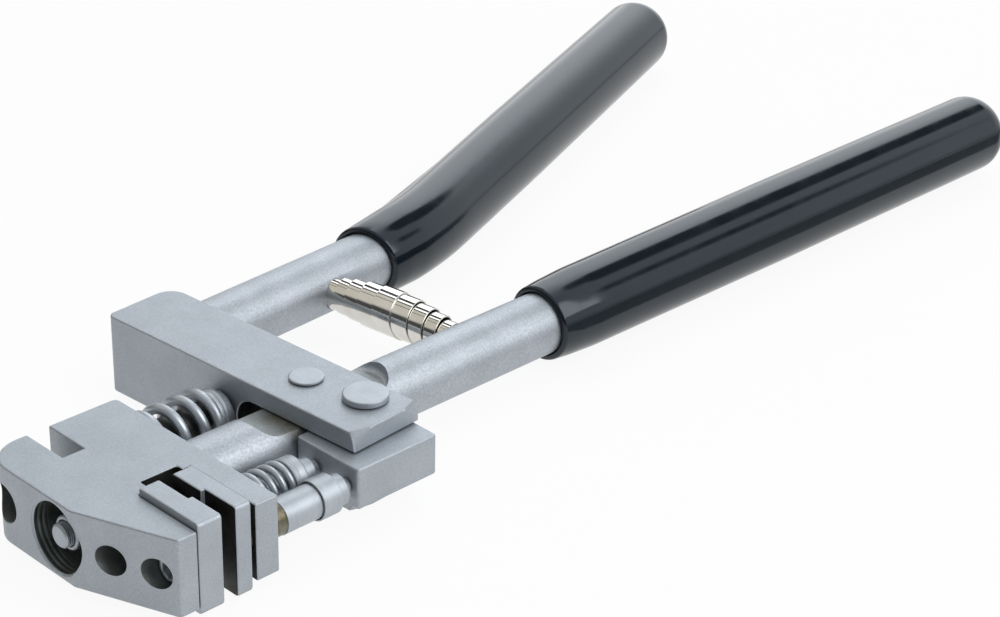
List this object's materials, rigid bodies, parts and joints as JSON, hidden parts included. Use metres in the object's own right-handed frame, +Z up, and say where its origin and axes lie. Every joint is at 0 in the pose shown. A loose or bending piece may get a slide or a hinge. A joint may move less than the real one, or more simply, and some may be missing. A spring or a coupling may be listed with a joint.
{
  "type": "flanging pliers",
  "caption": "Hand pliers for sheet metal with a slotted punching station, a stepped flanging die pair, a pinned crosshead lever and dipped round handles.",
  "frame": {"origin": "centre of the pivot pin's lower end face; the pivot axis is the Z axis", "axes": "+Z up along the pivot pin, +Y back along the fixed handle, +X to the flanging side; the head lies towards -Y"},
  "size_m": [0.1619, 0.3351, 0.024],
  "materials": {
    "satin_plate": "bead blasted and zinc plated, satin",
    "turned_plate": "turned and zinc plated, fine rings",
    "tool_steel": "ground tool steel",
    "spring_steel": "plated spring wire, slightly shiny",
    "polished_strip": "polished nickel plated strip",
    "black_vinyl": "dipped vinyl, semi gloss"
  },
  "bodies": {
    "frame": {"head_block": "satin_plate", "main_bar": "satin_plate", "right_grip": "black_vinyl", "neck_screw": "turned_plate", "neck_sleeve": "turned_plate", "fixed_flange_die": "tool_steel", "fixed_die_screw_inner": "turned_plate", "fixed_die_screw_outer": "turned_plate", "punch_die_bush": "tool_steel", "pivot_pin": "turned_plate", "handle_spring": "polished_strip", "flange_spring": "spring_steel", "punch_spring": "spring_steel"},
    "lever": {"crosshead": "satin_plate", "left_bar": "satin_plate", "left_grip": "black_vinyl", "block_pin": "turned_plate"},
    "pusher": {"pusher_block": "satin_plate"},
    "flange_slide": {"moving_flange_die": "tool_steel", "flange_plunger": "turned_plate", "plunger_sleeve": "turned_plate", "guide_rod": "turned_plate", "guide_collar": "turned_plate"},
    "punch_slide": {"punch_plunger": "turned_plate", "punch_collar": "turned_plate"}
  },
  "joints": [
    {"name": "lever_pivot", "type": "hinge", "parent": "frame", "child": "lever", "pos_m": [0, 0, 0.0111], "axis": [0, 0, -1], "range_deg": [0, 11], "stiffness_Nm_per_rad": 6, "springref_deg": -8.59, "deforming": ["handle_spring", "flange_spring"]},
    {"name": "block_turn", "type": "hinge", "parent": "lever", "child": "pusher", "pos_m": [0.01629, 0.00377, 0.0111], "axis": [0, 0, -1], "range_deg": [-11, 0]},
    {"name": "flange_press", "type": "slide", "parent": "frame", "child": "flange_slide", "axis": [0, -1, 0], "range_m": [0, 0.0032], "deforming": ["flange_spring"]},
    {"name": "punch_press", "type": "slide", "parent": "frame", "child": "punch_slide", "axis": [0, -1, 0], "range_m": [0, 0.0066], "stiffness_N_per_m": 1500, "springref_m": -0.003, "deforming": ["punch_spring"]}
  ],
  "couplings": [
    {"joint": "block_turn", "follows": "lever_pivot", "ratio": -1},
    {"joint": "flange_press", "follows": "lever_pivot", "m_per_rad": 0.01655}
  ]
}
